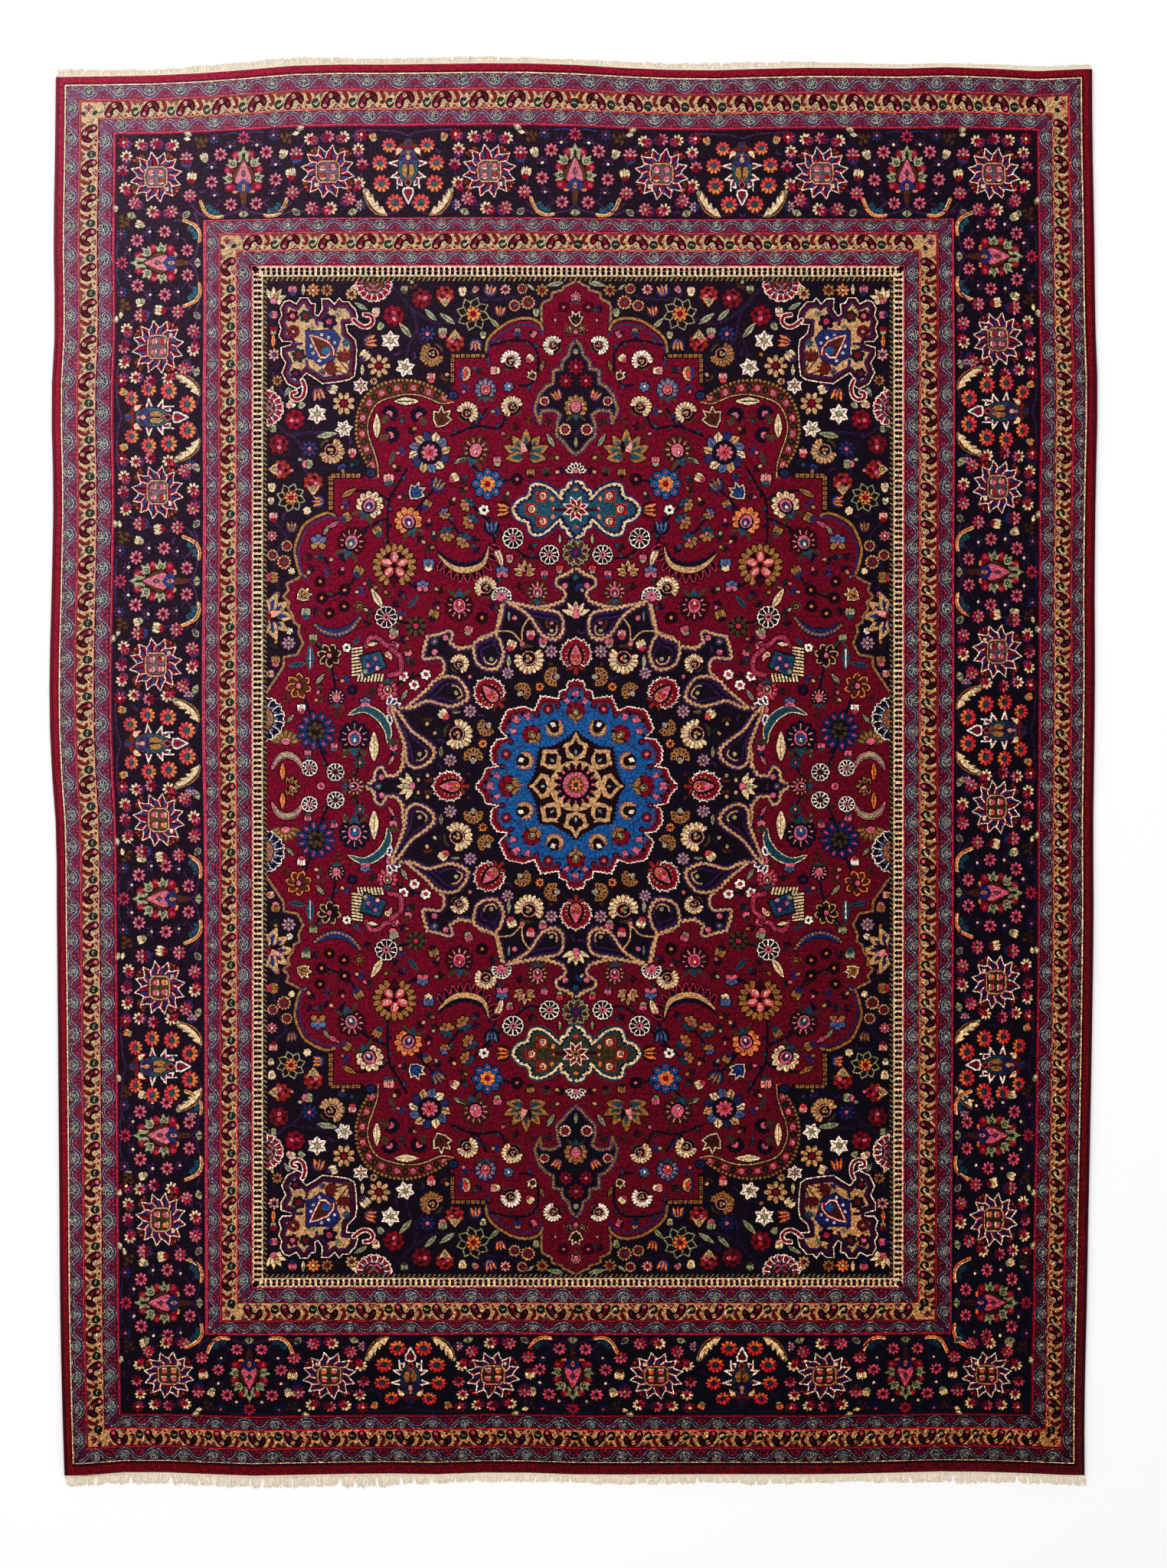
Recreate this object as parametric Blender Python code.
"""A large hand-knotted Persian rug lying flat: its pile body, two overcast selvedges and two fringed ends.

Metres, +Z up. The origin is on the floor, under the middle of everything that is built; +Y runs along the
rug's length and +X across it. The outline is a rectangle with the slack and draw that the knotting gave it:
the tables below say, in millimetres, how far each edge lies outside (+) or inside (-) that rectangle.
"""

import math
import random
from collections import namedtuple

import bmesh
import bpy

# ---------------------------------------------------------------- driving sizes
RUG_WIDTH = 2.900  # over both selvedges
RUG_LENGTH = 3.915  # of the knotted pile, without the fringes
RUG_THICKNESS = 0.0115  # foundation and pile together
PILE_SHOULDER = 0.0025  # how far the pile rounds off at its rim
SELVEDGE_WIDTH = 0.0105
SELVEDGE_HEIGHT = 0.0095
GAP = 0.0003  # between neighbouring pieces

KILIM_WIDTH = 0.0050  # the narrow woven end that the fringe grows from
KILIM_HEIGHT = 0.0032
LOCKS_PER_END = 130
LOCK_FILL = 0.68  # share of the pitch that a lock takes at its root
LOCK_LEAN = 0.0030  # the most a lock's tip strays sideways
CORNER_FLARE = 0.012  # how far the last locks of the lower end splay outward

CELLS_ACROSS = 22
CELLS_ALONG = 32
SELVEDGE_SIDES = 8

# ---------------------------------------------------------------- the uneven edges
# along: share of the rug's length, from its lower end (0) to its upper end (1)
SideRow = namedtuple("SideRow", "along left_mm right_mm")
SIDES = (
    SideRow(0.00, -30, -29),
    SideRow(0.05, -24, -29),
    SideRow(0.12, -18, -23),
    SideRow(0.19, -16, -18),
    SideRow(0.25, -14, -13),
    SideRow(0.32, -12, -8),
    SideRow(0.40, -9, -4),
    SideRow(0.46, -7, -5),
    SideRow(0.50, 4, -3),
    SideRow(0.54, 11, -1),
    SideRow(0.58, 11, 0),
    SideRow(0.63, 6, -1),
    SideRow(0.70, 1, 2),
    SideRow(0.77, 6, 7),
    SideRow(0.82, -3, 1),
    SideRow(0.88, 0, -2),
    SideRow(0.95, -4, -7),
    SideRow(1.00, -6, -8),
)

# across: share of the rug's width, from its left edge (0) to its right edge (1)
EndRow = namedtuple("EndRow", "across upper_mm lower_mm upper_fringe_mm lower_fringe_mm")
ENDS = (
    EndRow(0.00, -27, 4, 18, 28),
    EndRow(0.05, -25, -6, 15, 32),
    EndRow(0.11, -21, -4, 14, 30),
    EndRow(0.17, -10, 4, 19, 32),
    EndRow(0.24, 6, 1, 20, 33),
    EndRow(0.31, 7, -2, 15, 34),
    EndRow(0.37, 9, 0, 17, 22),
    EndRow(0.43, 11, -6, 15, 25),
    EndRow(0.49, 8, 0, 14, 20),
    EndRow(0.54, -1, 1, 15, 26),
    EndRow(0.62, -9, 0, 17, 23),
    EndRow(0.69, -4, 0, 16, 26),
    EndRow(0.75, -1, 0, 12, 22),
    EndRow(0.81, -4, -4, 9, 24),
    EndRow(0.88, 0, -8, 9, 29),
    EndRow(0.95, -11, -3, 9, 26),
    EndRow(1.00, -5, 3, 10, 29),
)

# The pile's surface is a little uneven too: soft waves of a millimetre or so.
WaveRow = namedtuple("WaveRow", "waves_across waves_along turn height_mm")
WAVES = (
    WaveRow(1.6, 0.7, 0.4, 0.5),
    WaveRow(0.6, 2.7, 1.9, 0.4),
    WaveRow(3.2, 1.9, 3.1, 0.3),
)

MM = 0.001


def between(rows, column, at):
    """The column's value at a station, on a smooth curve through the table's rows."""
    stations = [row[0] for row in rows]
    values = [getattr(row, column) for row in rows]
    slopes = []
    for i in range(len(rows)):
        before, after = max(i - 1, 0), min(i + 1, len(rows) - 1)
        slopes.append((values[after] - values[before]) / (stations[after] - stations[before]))
    i = next((k for k in range(len(rows) - 1) if at <= stations[k + 1]), len(rows) - 2)
    span = stations[i + 1] - stations[i]
    t = (at - stations[i]) / span
    start, end = (2 * t**3 - 3 * t**2 + 1), (3 * t**2 - 2 * t**3)
    lead, tail = (t**3 - 2 * t**2 + t), (t**3 - t**2)
    return start * values[i] + end * values[i + 1] + span * (lead * slopes[i] + tail * slopes[i + 1])


def left_edge(along):
    return -RUG_WIDTH / 2 - between(SIDES, "left_mm", along) * MM


def right_edge(along):
    return RUG_WIDTH / 2 + between(SIDES, "right_mm", along) * MM


def lower_edge(across):
    return -RUG_LENGTH / 2 - between(ENDS, "lower_mm", across) * MM


def upper_edge(across):
    return RUG_LENGTH / 2 + between(ENDS, "upper_mm", across) * MM


def rug_point(across, along, inset=0.0):
    """Where a share of the width and of the length falls, on a rug drawn in by inset at both sides."""
    left, right = left_edge(along) + inset, right_edge(along) - inset
    lower, upper = lower_edge(across), upper_edge(across)
    return left + (right - left) * across, lower + (upper - lower) * along


def surface_height(across, along):
    swell = sum(
        wave.height_mm * math.sin(math.tau * (wave.waves_across * across + wave.waves_along * along) + wave.turn)
        for wave in WAVES
    )
    return RUG_THICKNESS + swell * MM


# ---------------------------------------------------------------- the body's own rim
def shares(cells, rim):
    """Grid lines from 0 to 1, with one extra line close to each rim, where the pile rounds off."""
    return [0.0, rim] + [i / cells for i in range(1, cells)] + [1.0 - rim, 1.0]


BODY_INSET = SELVEDGE_WIDTH + GAP
BODY_COLUMNS = shares(CELLS_ACROSS, PILE_SHOULDER / RUG_WIDTH)
BODY_ROWS = shares(CELLS_ALONG, PILE_SHOULDER / RUG_LENGTH)


def end_line(end):
    """The body's rim at one end, as (x, y) corners: what the fringe lies against."""
    along = 1.0 if end == "upper" else 0.0
    return [rug_point(across, along, BODY_INSET) for across in BODY_COLUMNS]


def side_line(side):
    """The body's rim at one side, as (y, x) corners: what the selvedge lies against."""
    across = 0.0 if side == "left" else 1.0
    return [rug_point(across, along, BODY_INSET)[::-1] for along in BODY_ROWS]


def read_line(line, at):
    """The second coordinate of a line at a given first one: straight between corners, level past its ends."""
    at = min(max(at, line[0][0]), line[-1][0])
    (a, value_a), (b, value_b) = next(pair for pair in zip(line, line[1:]) if at <= pair[1][0])
    return value_a + (value_b - value_a) * (at - a) / (b - a)


# ---------------------------------------------------------------- making objects
def clear_scene():
    for thing in list(bpy.data.objects):
        bpy.data.objects.remove(thing, do_unlink=True)


def material(name, colour, roughness):
    made = bpy.data.materials.new(name)
    made.use_nodes = True
    shader = made.node_tree.nodes["Principled BSDF"]
    shader.inputs["Base Color"].default_value = (*colour, 1)
    shader.inputs["Roughness"].default_value = roughness
    shader.inputs["Metallic"].default_value = 0
    return made


def object_from(mesh, name, finish, smooth=True):
    data = bpy.data.meshes.new(name)
    bmesh.ops.recalc_face_normals(mesh, faces=mesh.faces[:])
    mesh.to_mesh(data)
    mesh.free()
    data.materials.append(finish)
    thing = bpy.data.objects.new(name, data)
    bpy.context.scene.collection.objects.link(thing)
    if smooth:
        data.shade_smooth()
        data.set_sharp_from_angle(angle=math.radians(40))
    return thing


# ---------------------------------------------------------------- the pile body
def make_body(finish):
    """One slab: a flat underside, and a gently uneven top that rounds off all round its rim."""
    last_i, last_j = len(BODY_COLUMNS) - 1, len(BODY_ROWS) - 1
    mesh = bmesh.new()
    top, floor = {}, {}
    for i, across in enumerate(BODY_COLUMNS):
        for j, along in enumerate(BODY_ROWS):
            x, y = rug_point(across, along, BODY_INSET)
            at_rim = i in (0, last_i) or j in (0, last_j)
            height = surface_height(across, along) - (PILE_SHOULDER if at_rim else 0)
            top[i, j] = mesh.verts.new((x, y, height))
            floor[i, j] = mesh.verts.new((x, y, 0))
    for i in range(last_i):
        for j in range(last_j):
            mesh.faces.new((top[i, j], top[i + 1, j], top[i + 1, j + 1], top[i, j + 1]))
            mesh.faces.new((floor[i, j], floor[i, j + 1], floor[i + 1, j + 1], floor[i + 1, j]))
    for i in range(last_i):
        for j in (0, last_j):
            mesh.faces.new((top[i, j], floor[i, j], floor[i + 1, j], top[i + 1, j]))
    for j in range(last_j):
        for i in (0, last_i):
            mesh.faces.new((top[i, j], top[i, j + 1], floor[i, j + 1], floor[i, j]))
    return object_from(mesh, "rug_body", finish)


# ---------------------------------------------------------------- the selvedges
def make_selvedge(side, finish):
    """The outer warps, overcast with wool into a cord along the rug's side: a many-sided bar, flat below."""
    mesh = bmesh.new()
    outward = -1 if side == "left" else 1
    rings = []
    for y, rim in side_line(side):
        middle = rim + outward * (GAP + SELVEDGE_WIDTH / 2)
        ring = []
        for k in range(SELVEDGE_SIDES):
            angle = math.tau * (k + 0.5) / SELVEDGE_SIDES
            spread = 1 / math.cos(math.pi / SELVEDGE_SIDES)
            x = middle + spread * SELVEDGE_WIDTH / 2 * math.cos(angle)
            z = SELVEDGE_HEIGHT / 2 * (1 + spread * math.sin(angle))
            ring.append(mesh.verts.new((x, y, max(z, 0))))
        rings.append(ring)
    for ring, following in zip(rings, rings[1:]):
        for k in range(SELVEDGE_SIDES):
            n = (k + 1) % SELVEDGE_SIDES
            mesh.faces.new((ring[k], ring[n], following[n], following[k]))
    mesh.faces.new(rings[0])
    mesh.faces.new(rings[-1])
    return object_from(mesh, f"selvedge_{side}", finish)


# ---------------------------------------------------------------- the fringes
def make_fringe(end, finish, seed):
    """A narrow strip of plain weave along the rug's end, and the warps that stand out of it in locks."""
    chance = random.Random(seed)
    outward = 1 if end == "upper" else -1
    along = 1.0 if end == "upper" else 0.0
    left, right = left_edge(along), right_edge(along)
    rim = end_line(end)
    pitch = 1 / LOCKS_PER_END
    mesh = bmesh.new()

    def section(across):
        """The strip's four corners at one station: back and front, each on the floor and on top."""
        x = left + (right - left) * across
        back = read_line(rim, x) + outward * GAP
        front = back + outward * KILIM_WIDTH
        return [
            mesh.verts.new((x, y, z))
            for y, z in ((back, 0), (front, 0), (front, KILIM_HEIGHT), (back, KILIM_HEIGHT))
        ]

    def lock(root_low_a, root_low_b, root_high_b, root_high_a, across):
        """One four-sided lock, level on the floor, that narrows to its tip and leans a little."""
        reach = between(ENDS, f"{end}_fringe_mm", across) * MM * chance.uniform(0.86, 1.06)
        lean = chance.uniform(-1, 1) * LOCK_LEAN
        if end == "lower":
            lean += CORNER_FLARE * (max(across - 0.93, 0) - max(0.07 - across, 0)) / 0.07
        middle = left + (right - left) * across
        front = read_line(rim, middle) + outward * (GAP + KILIM_WIDTH)
        half = (right - left) * pitch * LOCK_FILL / 2
        ring = [root_low_a, root_low_b, root_high_b, root_high_a]
        for share, width, height in ((0.6, 0.92, 0.80), (1.0, 0.55, 0.45)):
            x, y = middle + lean * share**2, front + outward * reach * share
            tall = KILIM_HEIGHT * height
            corners = ((x - half * width, 0), (x + half * width, 0), (x + half * width, tall), (x - half * width, tall))
            outer = [mesh.verts.new((cx, y, cz)) for cx, cz in corners]
            for k in range(4):
                n = (k + 1) % 4
                mesh.faces.new((ring[k], ring[n], outer[n], outer[k]))
            ring = outer
        mesh.faces.new(ring)

    sections = [section(0.0)]
    for i in range(LOCKS_PER_END):
        middle = (i + 0.5) * pitch
        start, stop = section(middle - pitch * LOCK_FILL / 2), section(middle + pitch * LOCK_FILL / 2)
        sections += [start, stop]
        lock(start[1], stop[1], stop[2], start[2], middle)
    sections.append(section(1.0))
    for index, (a, b) in enumerate(zip(sections, sections[1:])):
        under_lock = index % 2 == 1
        for k in range(4):
            n = (k + 1) % 4
            if k == 1 and under_lock:
                continue
            mesh.faces.new((a[k], a[n], b[n], b[k]))
    mesh.faces.new(sections[0])
    mesh.faces.new(sections[-1])
    return object_from(mesh, f"fringe_{end}", finish, smooth=False)


def centre_on_origin(things):
    """Slides all pieces together, in their meshes, until the box around them is centred over the origin."""
    points = [vertex.co for thing in things for vertex in thing.data.vertices]
    slide_x = -(min(p.x for p in points) + max(p.x for p in points)) / 2
    slide_y = -(min(p.y for p in points) + max(p.y for p in points)) / 2
    for thing in things:
        for vertex in thing.data.vertices:
            vertex.co.x += slide_x
            vertex.co.y += slide_y


def main():
    clear_scene()
    wool = material("knotted_wool", (0.20, 0.03, 0.05), 0.9)
    crimson = material("crimson_overcast_wool", (0.19, 0.012, 0.03), 0.85)
    cotton = material("cream_cotton_warp", (0.78, 0.68, 0.55), 0.9)
    things = [
        make_body(wool),
        make_selvedge("left", crimson),
        make_selvedge("right", crimson),
        make_fringe("upper", cotton, seed=11),
        make_fringe("lower", cotton, seed=23),
    ]
    centre_on_origin(things)
    bpy.context.view_layer.update()


main()
